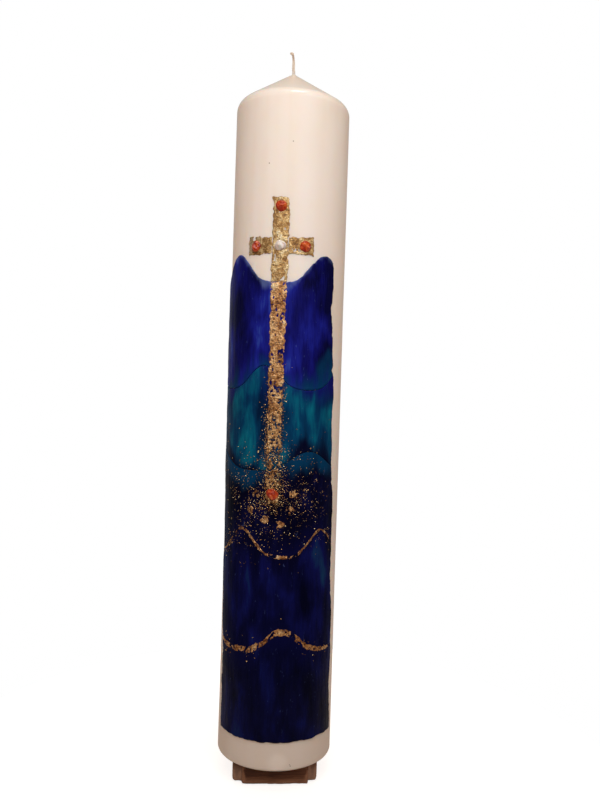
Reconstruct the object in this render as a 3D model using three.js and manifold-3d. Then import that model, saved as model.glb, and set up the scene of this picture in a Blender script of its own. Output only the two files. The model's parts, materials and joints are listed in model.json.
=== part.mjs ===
// A church candle: a tall pressed-wax pillar with a cotton wick, dressed on its front with cut wax sheet,
// gold leaf and hand-pressed wax drops. It stands on a small wooden block, whose steel spike runs up into
// the wax. Millimetres, +Z up, with the dressed side to -Y and the origin at the centre of the block's foot.

import * as THREE from 'three';
import { mergeVertices } from 'three/addons/utils/BufferGeometryUtils.js';
import Module from 'manifold-3d';

// The pillar
const candleDiameter = 100;
const wallHeight = 562; // straight wall, from the foot of the pillar to the start of its shoulder
const shoulderRadius = 10;
const coneSlope = 33.4; // degrees above level
const footRounding = 1.5;
const collarHeight = 4.5; // wax drawn up round the wick
const collarSpread = 1.3; // how much wider the collar is at its foot
const collarWall = 0.45;

// The wick
const wickDiameter = 2.5;
const wickStub = 18; // what stands out of the wax
const wickLean = 0.9; // to the left, soon after it leaves the wax
const wickHook = 2.4; // how far its tip ends up to the left

// The block and its spike
const blockWidth = 73; // across the view
const blockDepth = 70;
const notchWidth = 8; // the notch down each upright corner
const notchDepth = 6;
const blockHeight = 18;
const blockRounding = 1.4;
const woodUnderSpike = 5;
const spikeDiameter = 8;
const spikeReach = 45; // above the block
const spikePointLength = 33;
const spikeTipRadius = 0.6;
const barbHeight = 0.6;
const barbCount = 3;
const plainShank = 3; // between the top barb and the block's top
const tipRoom = 5; // bore left over above the spike's tip
const spikeClearance = 0.35;

// The dressing of sheet and leaf
const fitGap = 0.3; // between pieces that lie on or beside each other
const seamGap = 0.5; // between one band of sheet and the next
const sheetThickness = 1;
const leafThickness = 0.6;
const facing = -12; // degrees round the pillar from the front to the middle of the dressing
const sheetWidth = 116;
const sheetFoot = 25; // bare wax under the sheet
const sheetLean = 18; // how far to the left the sheet leans from its foot to its top
const swellLength = 84; // from crest to crest of the lowest swell, by which the others are measured
const swellRise = 12; // from the mean level to the crest, likewise
const topSwellRise = 15;
const sideStray = 1.6; // how far the hand-cut sides stray
const sideStrayLength = 105;
const bareWaxAbove = 84; // from the cross to the shoulder
const crossHeadLength = 40; // above the middle of the arms
const crestBelowArm = 6; // from the middle of the arms down to the top of the sheet
const crossWidth = 14;
const crossFlare = 2.4; // how much wider the arms end than they start
const crossArmReach = 29; // from the middle of the cross
const crossFootRise = 44; // from the upper gold line to the foot of the cross
const crossFootTaper = 3;
const leafStray = 0.5;
const leafStrayLength = 33;
const lowerLineWidth = 6;
const upperLineWidth = 3.5;
const goldLineTaper = 0.45; // share of its width that a line has lost at its ends
const goldLineInset = 3; // from the sheet's sides
const dropDiameter = 10;
const dropHeight = 4;
const dropInset = 7.5; // from the end of an arm to the middle of its drop
const scrapCount = 6;
const scrapSize = 7;
const scrapReach = 19; // from the foot of the cross to the middle of the farther scraps
const scrapSpread = 115; // degrees to either side of straight down

// Fineness of the faceting
const pillarSides = 72;
const spikeSides = 24;
const dropSides = 18;
const sheetColumns = 36;
const bandRows = 3;
const lineColumns = 40;
const leafColumn = 4.7; // width of one facet of leaf
const leafRow = 6;

const waxRadius = candleDiameter / 2;
const sheetRadius = waxRadius + fitGap;
const leafOnSheetRadius = sheetRadius + sheetThickness + fitGap;
const crossTop = wallHeight - bareWaxAbove;
const armLevel = crossTop - crossHeadLength;
const sheetTop = armLevel - crestBelowArm;

const radians = THREE.MathUtils.degToRad;
const lerp = THREE.MathUtils.lerp;

function material(name, color, roughness, metalness = 0) {
  return new THREE.MeshStandardMaterial({ name, color, roughness, metalness });
}

const ivoryWax = material('ivory wax', 0xf0e4d2, 0.4);
const cotton = material('waxed cotton', 0xcbb79c, 0.8);
const navyWax = material('navy wax', 0x0a0d33, 0.3);
const ultramarineWax = material('ultramarine wax', 0x16207a, 0.3);
const tealWax = material('teal wax', 0x0b5f74, 0.3);
const goldLeaf = material('gold leaf', 0xc79a55, 0.35, 1);
const redWax = material('orange-red wax', 0xb5321a, 0.35);
const pearlWax = material('pearl wax', 0xd8cdc6, 0.3);
const darkWood = material('dark wood', 0x6d4a33, 0.6);
const steel = material('steel', 0x9a9a98, 0.35, 1);

// Turns an outline of [radius, height] places, wound with the material on its left, about the Z axis.
function turned(outline, sides) {
  const geometry = new THREE.LatheGeometry(outline.map(([r, z]) => new THREE.Vector2(r, z)), sides);
  return geometry.rotateX(Math.PI / 2);
}

function arc(centreR, centreZ, radius, fromDegrees, toDegrees, steps) {
  const places = [];
  for (let i = 0; i <= steps; i += 1) {
    const angle = radians(lerp(fromDegrees, toDegrees, i / steps));
    places.push([centreR + radius * Math.cos(angle), centreZ + radius * Math.sin(angle)]);
  }
  return places;
}

// The pillar is pressed with a channel for the wick and is bored from below for the spike. Wax is drawn up
// round the wick in a small collar, which sweeps out onto the cone.
const boreRadius = spikeDiameter / 2 + spikeClearance;
const boreDepth = spikeReach + tipRoom;
const channelRadius = wickDiameter / 2 + fitGap;
const shoulder = arc(waxRadius - shoulderRadius, wallHeight, shoulderRadius, 0, 90 - coneSlope, 5);
const [shoulderEndRadius, shoulderEndHeight] = shoulder[shoulder.length - 1];
const coneEndRadius = channelRadius + collarWall + collarSpread;
const coneEndHeight = shoulderEndHeight + (shoulderEndRadius - coneEndRadius) * Math.tan(radians(coneSlope));
const pillarTop = coneEndHeight + collarHeight;

function pillar() {
  const foot = arc(waxRadius - footRounding, footRounding, footRounding, -90, 0, 3);
  const sweep = arc(0, 0, 1, -90, -180, 4);
  const collar = sweep.map(([r, z]) => [coneEndRadius + collarSpread * r, pillarTop + collarHeight * z]);
  const channel = [[channelRadius, pillarTop], [channelRadius, boreDepth]];
  const bore = [[boreRadius, boreDepth], [boreRadius, 0]];
  return turned([...bore, ...foot, ...shoulder, ...collar, ...channel, bore[0]], pillarSides);
}

// The wick stands almost upright, leans a little to the left and hooks over at its tip.
function wick() {
  const stub = (share) => pillarTop + share * wickStub;
  const route = new THREE.CatmullRomCurve3([
    new THREE.Vector3(0, 0, boreDepth + fitGap),
    new THREE.Vector3(0, 0, lerp(boreDepth, pillarTop, 0.5)),
    new THREE.Vector3(0, 0, pillarTop - wickDiameter),
    new THREE.Vector3(0, 0, stub(0)),
    new THREE.Vector3(-wickLean, 0, stub(0.3)),
    new THREE.Vector3(-0.8 * wickLean, 0, stub(0.6)),
    new THREE.Vector3(-0.5 * wickHook, 0, stub(0.86)),
    new THREE.Vector3(-wickHook, 0, stub(1) - wickDiameter / 4),
  ]);
  const section = new THREE.Shape();
  section.absarc(0, 0, wickDiameter / 2, 0, 2 * Math.PI);
  return new THREE.ExtrudeGeometry(section, { extrudePath: route, steps: 60, curveSegments: 5 });
}

// A patch of sheet pressed round the pillar. places is a grid of rows, from the lowest up, and each row runs
// left to right: [across, up] in millimetres from the middle of the dressing and from the pillar's foot.
function pressedSheet(places, innerRadius, thickness) {
  const rows = places.length;
  const columns = places[0].length;
  const positions = [];
  for (const radius of [innerRadius, innerRadius + thickness]) {
    for (const [across, up] of places.flat()) {
      const angle = radians(facing) + across / waxRadius;
      positions.push(radius * Math.sin(angle), -radius * Math.cos(angle), up);
    }
  }
  const inner = (row, column) => row * columns + column;
  const outer = (row, column) => rows * columns + inner(row, column);
  const triangles = [];
  const quad = (a, b, c, d) => triangles.push(a, b, c, a, c, d);
  for (let r = 0; r < rows - 1; r += 1) {
    for (let c = 0; c < columns - 1; c += 1) {
      quad(outer(r, c), outer(r, c + 1), outer(r + 1, c + 1), outer(r + 1, c));
      quad(inner(r, c), inner(r + 1, c), inner(r + 1, c + 1), inner(r, c + 1));
    }
  }
  // The rim goes round the patch anticlockwise, as seen from outside.
  const rim = [];
  for (let c = 0; c < columns - 1; c += 1) rim.push([0, c]);
  for (let r = 0; r < rows - 1; r += 1) rim.push([r, columns - 1]);
  for (let c = columns - 1; c > 0; c -= 1) rim.push([rows - 1, c]);
  for (let r = rows - 1; r > 0; r -= 1) rim.push([r, 0]);
  rim.forEach((place, i) => {
    const next = rim[(i + 1) % rim.length];
    quad(outer(...next), outer(...place), inner(...place), inner(...next));
  });
  const geometry = new THREE.BufferGeometry();
  geometry.setAttribute('position', new THREE.Float32BufferAttribute(positions, 3));
  geometry.setIndex(triangles);
  return geometry;
}

// An edge cut or torn by hand strays to either side of its line by up to size.
function stray(place, size, length, phase) {
  const turn = (2 * Math.PI * place) / length;
  return (size * (Math.sin(turn + phase) + 0.5 * Math.sin(2.3 * turn + 2 * phase))) / 1.5;
}

// The sheet is cut into five bands, each sharing an edge with the next. The edges run in swells that are
// sharper at the crest than in the trough, and the last of them is the sheet's top.
function swell(share, rise, length, crest) {
  return {
    level: lerp(sheetFoot, sheetTop, share),
    rise: rise * swellRise,
    length: length * swellLength,
    crestAt: crest * swellLength,
  };
}

const topSwell = { ...swell(1, 0, 0.96, 0.48), level: sheetTop - topSwellRise, rise: topSwellRise };
const swells = [
  swell(0.2, 0.9, 1, 0.14),
  swell(0.4, 1.1, 0.83, -0.31),
  swell(0.57, 0.85, 1.14, 0.36),
  swell(0.74, 1, 0.88, -0.12),
  topSwell,
];

function swellHeight(across, { level, rise, length, crestAt }) {
  const phase = (2 * Math.PI * (across - crestAt)) / length;
  const sharpening = 0.22;
  return level + (rise * (Math.cos(phase) + sharpening * Math.cos(2 * phase))) / (1 + sharpening);
}

function sheetMiddle(up) {
  return sheetLean * (0.5 - (up - sheetFoot) / (sheetTop - sheetFoot));
}

function sheetSide(side, up) {
  return sheetMiddle(up) + side * (sheetWidth / 2 + stray(up, sideStray, sideStrayLength, side));
}

function acrossSheet(share, up) {
  return lerp(sheetSide(-1, up), sheetSide(1, up), share);
}

// The height of a seam at a share of the sheet's width. The sheet leans, so it settles in a few steps.
function seamHeight(share, seam) {
  let up = seam.level;
  for (let step = 0; step < 6; step += 1) up = swellHeight(acrossSheet(share, up), seam);
  return up;
}

function band(index) {
  const places = [];
  for (let r = 0; r <= bandRows; r += 1) {
    const row = [];
    for (let c = 0; c <= sheetColumns; c += 1) {
      const share = c / sheetColumns;
      const low = index === 0 ? sheetFoot : seamHeight(share, swells[index - 1]) + seamGap / 2;
      const high = seamHeight(share, swells[index]) - seamGap / 2;
      const up = lerp(low, high, r / bandRows);
      row.push([acrossSheet(share, up), up]);
    }
    places.push(row);
  }
  return pressedSheet(places, sheetRadius, sheetThickness);
}

// A torn strip of leaf covers the seam along a swell and narrows towards both ends.
function goldLine(index, width) {
  const reach = sheetWidth / 2 - goldLineInset;
  const middle = sheetMiddle(swells[index].level);
  const edge = (sign) => {
    const row = [];
    for (let c = 0; c <= lineColumns; c += 1) {
      const along = lerp(-1, 1, c / lineColumns);
      const across = middle + reach * along;
      const half = (width / 2) * (1 - goldLineTaper * along * along);
      const torn = stray(across, leafStray, leafStrayLength, index + sign);
      row.push([across, swellHeight(across, swells[index]) + sign * half + torn]);
    }
    return row;
  };
  return pressedSheet([edge(-1), edge(1)], leafOnSheetRadius, leafThickness);
}

// The cross is four strips of leaf: its stem lies on the sheet, and its head and arms on the bare wax above.
const crossFoot = swellHeight(0, swells[1]) + crossFootRise;

// An upright strip between two edges, which are heights that may change across the strip.
function upright(low, high, footTaper, phase) {
  const rows = Math.ceil((high(0) - low(0)) / leafRow);
  const columns = Math.ceil(crossWidth / leafColumn);
  const places = [];
  for (let r = 0; r <= rows; r += 1) {
    const level = lerp(low(0), high(0), r / rows);
    const half = (crossWidth - footTaper * (1 - r / rows)) / 2;
    const left = -half + stray(level, leafStray, leafStrayLength, phase);
    const right = half + stray(level, leafStray, leafStrayLength, phase + 1);
    const row = [];
    for (let c = 0; c <= columns; c += 1) {
      const across = lerp(left, right, c / columns);
      row.push([across, lerp(low(across), high(across), r / rows)]);
    }
    places.push(row);
  }
  return places;
}

function crossStem() {
  const high = (across) => swellHeight(across, topSwell) - fitGap;
  return pressedSheet(upright(() => crossFoot, high, crossFootTaper, 1), leafOnSheetRadius, leafThickness);
}

function crossHead() {
  const low = (across) => swellHeight(across, topSwell) + fitGap;
  return pressedSheet(upright(low, () => crossTop, 0, 3), sheetRadius, leafThickness);
}

function crossArm(side) {
  const root = crossWidth / 2 + leafStray + fitGap;
  const columns = Math.ceil((crossArmReach - root) / leafColumn);
  const edge = (sign) => {
    const row = [];
    for (let c = 0; c <= columns; c += 1) {
      const out = lerp(root, crossArmReach, c / columns);
      const half = (crossWidth + (crossFlare * c) / columns) / 2;
      const torn = stray(out, leafStray, leafStrayLength, side + sign);
      row.push([side * out, armLevel + sign * half + torn]);
    }
    return side > 0 ? row : row.reverse();
  };
  return pressedSheet([edge(-1), edge(1)], sheetRadius, leafThickness);
}

// Torn scraps of leaf lie in an open ring round the foot of the cross, each turned another way.
function leafScrap(index) {
  const turn = radians(lerp(-scrapSpread, scrapSpread, index / (scrapCount - 1)));
  const reach = scrapReach - (index % 2 ? 0 : scrapSize / 2);
  const across = reach * Math.sin(turn);
  const up = crossFoot - reach * Math.cos(turn);
  const half = scrapSize / 2;
  const tilt = 0.3 * Math.sin(4 * index + 1);
  const edge = (sign) => [-1, 0, 1].map((column) => {
    const share = column === 0 ? 1 : 0.45 + 0.3 * Math.sin(3 * index + column + sign);
    return [across + column * half, up + half * (sign * share + tilt * column)];
  });
  return pressedSheet([edge(-1), edge(1)], leafOnSheetRadius, leafThickness);
}

// A drop of wax pressed on while soft: a low dome with a flat back, which lies against the leaf.
function waxDrop(across, up, leafRadius) {
  const half = dropDiameter / 2;
  const steps = 5;
  const dome = [[0, 0], [half, 0]];
  for (let i = 1; i < steps; i += 1) {
    const angle = (Math.PI / 2) * (i / steps);
    dome.push([half * Math.cos(angle), dropHeight * Math.sin(angle)]);
  }
  dome.push([0, dropHeight]);
  const seat = leafRadius + leafThickness + fitGap;
  const angle = radians(facing) + across / waxRadius;
  const mesh = new THREE.Mesh(turned(dome, dropSides));
  mesh.position.set(seat * Math.sin(angle), -seat * Math.cos(angle), up);
  mesh.rotation.set(Math.PI / 2, angle, 0);
  return mesh;
}

// The block is one piece of wood with a notch down each upright corner and a blind hole for the spike.
function block(wasm) {
  const halfWidth = blockWidth / 2 - blockRounding;
  const halfDepth = blockDepth / 2 - blockRounding;
  const quarter = [
    [halfWidth - notchWidth, -halfDepth],
    [halfWidth - notchWidth, -halfDepth + notchDepth],
    [halfWidth, -halfDepth + notchDepth],
  ];
  const rightSide = [...quarter, ...quarter.map(([x, y]) => [x, -y]).reverse()];
  const leftSide = rightSide.map(([x, y]) => [-x, y]).reverse();
  const plan = new THREE.Shape([...rightSide, ...leftSide].map(([x, y]) => new THREE.Vector2(x, y)));
  const wood = new THREE.ExtrudeGeometry(plan, {
    depth: blockHeight - 2 * blockRounding,
    bevelThickness: blockRounding,
    bevelSize: blockRounding,
    bevelSegments: 3,
  }).translate(0, 0, blockRounding);
  const holeRadius = spikeDiameter / 2 + barbHeight + fitGap;
  const floor = woodUnderSpike;
  const past = blockHeight + 1;
  const hole = turned([[0, floor], [holeRadius, floor], [holeRadius, past], [0, past]], spikeSides);
  return geometryOf(solidOf(wasm, wood).subtract(solidOf(wasm, hole)));
}

function solidOf(wasm, geometry) {
  const bare = geometry.clone();
  bare.deleteAttribute('normal');
  bare.deleteAttribute('uv');
  const merged = mergeVertices(bare, 1e-4);
  return new wasm.Manifold(new wasm.Mesh({
    numProp: 3,
    vertProperties: new Float32Array(merged.attributes.position.array),
    triVerts: new Uint32Array(merged.index.array),
  }));
}

function geometryOf(solid) {
  const { vertProperties, triVerts } = solid.getMesh();
  const geometry = new THREE.BufferGeometry();
  geometry.setAttribute('position', new THREE.BufferAttribute(vertProperties, 3));
  geometry.setIndex(new THREE.BufferAttribute(triVerts, 1));
  return geometry;
}

// The spike: a barbed shank that is driven into the block, a plain waist, and a long point for the wax.
function spike() {
  const radius = spikeDiameter / 2;
  const shankFoot = woodUnderSpike + fitGap;
  const shankTop = blockHeight - plainShank;
  const tip = blockHeight + spikeReach;
  const pitch = (shankTop - shankFoot) / barbCount;
  const outline = [[0, shankFoot]];
  for (let i = 0; i < barbCount; i += 1) {
    const foot = shankFoot + i * pitch;
    outline.push([radius, foot], [radius + barbHeight, foot + 0.75 * pitch], [radius, foot + 0.85 * pitch]);
  }
  outline.push([radius, shankTop], [radius, tip - spikePointLength]);
  outline.push([spikeTipRadius, tip - spikeTipRadius], [0, tip]);
  return turned(outline, spikeSides);
}

const candle = new THREE.Group();
const lifted = new THREE.Group(); // all that lifts off the block together
lifted.position.z = blockHeight + fitGap;
candle.add(lifted);

function place(group, name, finish, shape) {
  const mesh = shape.isMesh ? shape : new THREE.Mesh(shape);
  mesh.name = name;
  mesh.material = finish;
  group.add(mesh);
}

const wasm = await Module();
wasm.setup();
place(candle, 'foot_block', darkWood, block(wasm));
place(candle, 'foot_spike', steel, spike());
place(lifted, 'candle_body', ivoryWax, pillar());
place(lifted, 'wick', cotton, wick());

const bandFinishes = [navyWax, ultramarineWax, navyWax, tealWax, ultramarineWax];
bandFinishes.forEach((finish, i) => place(lifted, `sheet_band_${i + 1}`, finish, band(i)));
place(lifted, 'gold_line_lower', goldLeaf, goldLine(0, lowerLineWidth));
place(lifted, 'gold_line_upper', goldLeaf, goldLine(1, upperLineWidth));
place(lifted, 'cross_stem', goldLeaf, crossStem());
place(lifted, 'cross_head', goldLeaf, crossHead());
place(lifted, 'cross_arm_left', goldLeaf, crossArm(-1));
place(lifted, 'cross_arm_right', goldLeaf, crossArm(1));
for (let i = 0; i < scrapCount; i += 1) place(lifted, `leaf_scrap_${i + 1}`, goldLeaf, leafScrap(i));

const sideDrop = crossArmReach - dropInset;
place(lifted, 'drop_centre', pearlWax, waxDrop(0, armLevel, sheetRadius));
place(lifted, 'drop_head', redWax, waxDrop(0, crossTop - dropInset, sheetRadius));
place(lifted, 'drop_left', redWax, waxDrop(-sideDrop, armLevel, sheetRadius));
place(lifted, 'drop_right', redWax, waxDrop(sideDrop, armLevel, sheetRadius));
place(lifted, 'drop_foot', redWax, waxDrop(0, crossFoot + dropInset, leafOnSheetRadius));

export default candle;
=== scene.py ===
import json
import math

import bmesh
import bpy
import numpy as np
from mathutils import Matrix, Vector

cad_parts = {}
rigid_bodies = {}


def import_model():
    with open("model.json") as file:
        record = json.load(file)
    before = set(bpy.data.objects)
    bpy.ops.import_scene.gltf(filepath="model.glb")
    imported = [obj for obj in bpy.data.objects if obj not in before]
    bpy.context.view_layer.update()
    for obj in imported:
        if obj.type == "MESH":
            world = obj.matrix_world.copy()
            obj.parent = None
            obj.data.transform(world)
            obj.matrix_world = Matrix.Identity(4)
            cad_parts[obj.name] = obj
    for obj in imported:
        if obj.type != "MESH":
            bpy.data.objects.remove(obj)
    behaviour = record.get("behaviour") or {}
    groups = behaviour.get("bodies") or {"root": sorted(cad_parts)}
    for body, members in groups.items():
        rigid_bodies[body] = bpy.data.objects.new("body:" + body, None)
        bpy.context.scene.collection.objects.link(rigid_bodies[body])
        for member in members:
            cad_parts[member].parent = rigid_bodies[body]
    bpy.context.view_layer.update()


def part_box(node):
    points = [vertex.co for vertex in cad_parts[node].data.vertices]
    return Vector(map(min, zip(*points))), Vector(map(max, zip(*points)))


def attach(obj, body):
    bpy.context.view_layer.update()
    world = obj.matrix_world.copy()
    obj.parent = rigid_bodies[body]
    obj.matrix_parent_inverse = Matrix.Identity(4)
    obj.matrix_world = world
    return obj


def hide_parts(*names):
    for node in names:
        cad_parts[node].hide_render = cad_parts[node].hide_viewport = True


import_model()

# A church candle on its spiked wooden foot, dressed with wax sheet, gold leaf and pressed wax drops.
# Sizes are in millimetres, and become metres where each mesh is made. The dressed side looks to -Y.
mm = 0.001


# The camera stands level with the candle's waist, two thirds of a metre off and a little to its left, as the
# photograph's perspective shows. It is tilted a little, so that the candle leans to the right in the picture.
camera_place = (-38.7, -671.7, 332.7)
camera_pitch = -0.373
camera_roll = -1.782
camera_turn = -4.47
camera_lens = 33.8


def new_object(name, data):
    """An object for a mesh, a lamp or a camera, put into the scene."""
    made = bpy.data.objects.new(name, data)
    bpy.context.scene.collection.objects.link(made)
    return made


camera = new_object("camera", bpy.data.cameras.new("camera"))
camera.location = [length * mm for length in camera_place]
camera.rotation_euler = [math.radians(angle) for angle in (90 + camera_pitch, camera_roll, camera_turn)]
camera.data.lens = camera_lens
camera.data.clip_start = 0.01
bpy.context.scene.camera = camera


# The studio: a pale round table top and a white background, with one large soft panel above the camera, a
# small one high over it and one behind the candle. What shines sees a dim room with a paler wall at the back.
table_radius = 320
table_glow = (0.78, 1.0)
room_light = 0.37
room_paint = "#ffd8ba"
dim_room = 0.12
bright_back = 0.4
dim_table = 0.15


def tint(code):
    """The linear colour of a paint that is written as #rrggbb."""
    shares = [int(code[i:i + 2], 16) / 255 for i in (1, 3, 5)]
    linear = [((s + 0.055) / 1.055) ** 2.4 if s > 0.04045 else s / 12.92 for s in shares]
    return [*linear, 1.0]


def add_node(tree, kind, sockets=None, **settings):
    """A node with its settings, and its input sockets set to values or joined to other nodes' outputs."""
    node = tree.nodes.new(kind)
    for name, value in settings.items():
        setattr(node, name, value)
    for key, value in (sockets or {}).items():
        if isinstance(value, bpy.types.NodeSocket):
            tree.links.new(value, node.inputs[key])
        else:
            node.inputs[key].default_value = value
    return node


def math_node(tree, operation, *values):
    """The output of a Math node."""
    return add_node(tree, "ShaderNodeMath", dict(enumerate(values)), operation=operation).outputs[0]


def object_place(tree):
    """Where a point of a piece lies in the piece's own coordinates, in metres."""
    return add_node(tree, "ShaderNodeTexCoord").outputs["Object"]


def parts_of(tree, vector):
    """The X, Y and Z of a vector."""
    return add_node(tree, "ShaderNodeSeparateXYZ", {0: vector}).outputs


def vector_node(tree, operation, sockets, result="Vector"):
    """The output of a Vector Math node."""
    return add_node(tree, "ShaderNodeVectorMath", sockets, operation=operation).outputs[result]


def ramp_between(tree, value, start, end, low=0.0, high=1.0):
    """Turns a value between start and end into one between low and high, and holds it outside them."""
    sockets = {"Value": value, "From Min": start, "From Max": end, "To Min": low, "To Max": high}
    return add_node(tree, "ShaderNodeMapRange", sockets, interpolation_type="SMOOTHSTEP").outputs[0]


bpy.context.scene.view_settings.view_transform = "Standard"
world = bpy.data.worlds.new("studio")
bpy.context.scene.world = world
world.use_nodes = True
world.cycles.sampling_method = "NONE"
sky = world.node_tree
sky.nodes.clear()
path = add_node(sky, "ShaderNodeLightPath").outputs
heading = parts_of(sky, add_node(sky, "ShaderNodeTexCoord").outputs["Generated"])
in_gloss = ramp_between(sky, heading["Y"], 0.2, 0.95, dim_room, bright_back)
plain = add_node(sky, "ShaderNodeMix", {0: path["Is Glossy Ray"], 2: room_light, 3: in_gloss})
seen = math_node(sky, "MAXIMUM", path["Is Camera Ray"], path["Is Transmission Ray"])
strength = add_node(sky, "ShaderNodeMix", {0: seen, 2: plain.outputs[0], 3: 1.0})
white_for = math_node(sky, "MAXIMUM", seen, path["Is Glossy Ray"])
sockets = {0: white_for, 6: tint(room_paint), 7: (1, 1, 1, 1)}
shown = add_node(sky, "ShaderNodeMix", sockets, data_type="RGBA").outputs[2]
background = add_node(sky, "ShaderNodeBackground", {"Color": shown, "Strength": strength.outputs[0]})
add_node(sky, "ShaderNodeOutputWorld", {"Surface": background.outputs[0]})

table = new_object("table_top", bpy.data.meshes.new("table_top"))
table_mesh = bmesh.new()
bmesh.ops.create_circle(table_mesh, cap_ends=True, segments=96, radius=table_radius * mm)
bmesh.ops.translate(table_mesh, verts=table_mesh.verts, vec=(0, 0, -0.2 * mm))
table_mesh.to_mesh(table.data)
table_mesh.free()
table_paint = bpy.data.materials.new("white_table")
table_paint.use_nodes = True
tree = table_paint.node_tree
tree.nodes.clear()
path = add_node(tree, "ShaderNodeLightPath").outputs
place = object_place(tree)
out = vector_node(tree, "LENGTH", {0: place}, "Value")
glow = ramp_between(tree, out, 0.2 * table_radius * mm, 0.95 * table_radius * mm, *table_glow)
seen = math_node(tree, "MAXIMUM", path["Is Camera Ray"], path["Is Transmission Ray"])
seen = math_node(tree, "MULTIPLY_ADD", path["Is Glossy Ray"], dim_table, seen)
lit = add_node(tree, "ShaderNodeBsdfDiffuse", {"Color": tint("#bfbab2")})
shown = math_node(tree, "MULTIPLY", seen, glow)
white = add_node(tree, "ShaderNodeEmission", {"Color": (1, 1, 1, 1), "Strength": shown})
surface = add_node(tree, "ShaderNodeAddShader", {0: lit.outputs[0], 1: white.outputs[0]})
add_node(tree, "ShaderNodeOutputMaterial", {"Surface": surface.outputs[0]})
table.data.materials.append(table_paint)


def add_panel(name, place, target, width, height, watts, colour, mirrored=True):
    """A soft oval light panel at a place, turned to face a target, which shiny things may mirror or not."""
    lamp = new_object(name, bpy.data.lights.new(name, "AREA"))
    lamp.data.shape = "ELLIPSE"
    lamp.data.size = width * mm
    lamp.data.size_y = height * mm
    lamp.data.energy = watts
    lamp.data.color = tint(colour)[:3]
    lamp.visible_glossy = mirrored
    lamp.location = [length * mm for length in place]
    facing_target = Vector(target) - Vector(place)
    lamp.rotation_euler = facing_target.to_track_quat("-Z", "Y").to_euler()


add_panel("front_panel", (-30, -760, 830), (0, 0, 450), 1700, 460, 5.7, "#f8faff")
add_panel("ceiling_panel", (49, -318, 1250), (0, 0, 600), 240, 80, 1.5, "#fff6ea")
add_panel("back_panel", (0, 950, 380), (0, 0, 320), 1400, 700, 4.4, "#fbfaff", mirrored=False)


# The foot block: one piece of dark waxed hardwood with a notch down each upright corner and a blind hole for
# the spike. Its edges are rounded by hand and worn, and its growth rings run along the view's width.
block_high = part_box("foot_block")[1] / mm
notch_width = 8
notch_depth = 6
block_rounding = 1.4
wood_under_spike = 5
spike_hole_radius = 4.9
wood_fineness = 0.75
softening_rounds = 14
worn_depth = 0.55
ring_heart = (-12, -38)
ring_pitch = 2.7


def ripple(x, y, seed, around=64):
    """Smooth noise from -1 to 1, one hill to a unit, which repeats in x after a number of units."""
    heights = np.random.default_rng(seed).uniform(-1, 1, (64, 64))
    column, row = np.floor(x).astype(int), np.floor(y).astype(int)
    right, up = x - column, y - row
    right, up = right * right * (3 - 2 * right), up * up * (3 - 2 * up)
    left_of, right_of = column % around, (column + 1) % around
    below, above = row % 64, (row + 1) % 64
    low = heights[left_of, below] * (1 - right) + heights[right_of, below] * right
    high = heights[left_of, above] * (1 - right) + heights[right_of, above] * right
    return low * (1 - up) + high * up


def neighbours_mean(places, pairs):
    """For each place, the mean of those that pairs join it to, or itself where there are none."""
    start, end = np.concatenate([pairs, pairs[:, ::-1]]).T
    count = np.bincount(start, minlength=len(places))
    total = [np.bincount(start, column[end], len(places)) for column in places.T]
    return np.where(count[:, None] > 0, np.stack(total, 1) / np.maximum(count, 1)[:, None], places)


def turned(outline, sides):
    """Places and faces of an outline of (radius, height) turned round the Z axis, material on its left. An
    outline that ends off its start is closed by a flat cap at each end."""
    outline = np.asarray(outline, float)
    closed = np.allclose(outline[0], outline[-1])
    outline = outline[:-1] if closed else outline
    rows = len(outline)
    turn = np.arange(sides) * 2 * math.pi / sides
    radius, height = outline[:, :1], np.repeat(outline[:, 1:], sides, 1)
    places = np.stack([radius * np.cos(turn), radius * np.sin(turn), height], 2).reshape(-1, 3)
    row, side = np.mgrid[0:rows if closed else rows - 1, 0:sides]
    after = (side + 1) % sides
    above = (row + 1) % rows
    quads = [row * sides + side, row * sides + after, above * sides + after, above * sides + side]
    faces = np.stack(quads, 2).reshape(-1, 4).tolist()
    if not closed:
        faces.append(list(range(sides))[::-1])
        faces.append(list(range((rows - 1) * sides, rows * sides)))
    return places, faces


def add_mesh(name, places, faces, finish=None, sharp=40):
    """An object at the origin, smooth but for edges that turn by more than the sharp angle."""
    mesh = bpy.data.meshes.new(name)
    mesh.from_pydata((np.asarray(places) * mm).tolist(), [], faces)
    mesh.shade_smooth()
    mesh.set_sharp_from_angle(angle=math.radians(sharp))
    if finish:
        mesh.materials.append(finish)
    return new_object(name, mesh)


def set_attribute(piece, name, values):
    """Keeps a number or a vector for each of a piece's vertices, for its finish to read."""
    values = np.asarray(values, np.float32)
    kind, field = ("FLOAT_VECTOR", "vector") if values.ndim == 2 else ("FLOAT", "value")
    piece.data.attributes.new(name, kind, "POINT").data.foreach_set(field, values.ravel())


def evaluated_mesh(piece, name):
    """A plain mesh of a piece with its modifiers applied."""
    shown = piece.evaluated_get(bpy.context.evaluated_depsgraph_get())
    mesh = bpy.data.meshes.new_from_object(shown)
    mesh.name = name
    return mesh


def hand_over(piece, body, slot, *nodes):
    """Lets a piece ride on a body and lets it stand for solids of the frame, which it hides. The slot is not
    used.
    """
    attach(piece, body)
    if nodes:
        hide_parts(*nodes)


def new_finish(name, **constants):
    """A material with one Principled shader, whose named sockets are set to constants."""
    finish = bpy.data.materials.new(name)
    finish.use_nodes = True
    shader = finish.node_tree.nodes["Principled BSDF"]
    for socket, value in constants.items():
        shader.inputs[socket.replace("_", " ")].default_value = value
    return finish, finish.node_tree, shader


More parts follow.
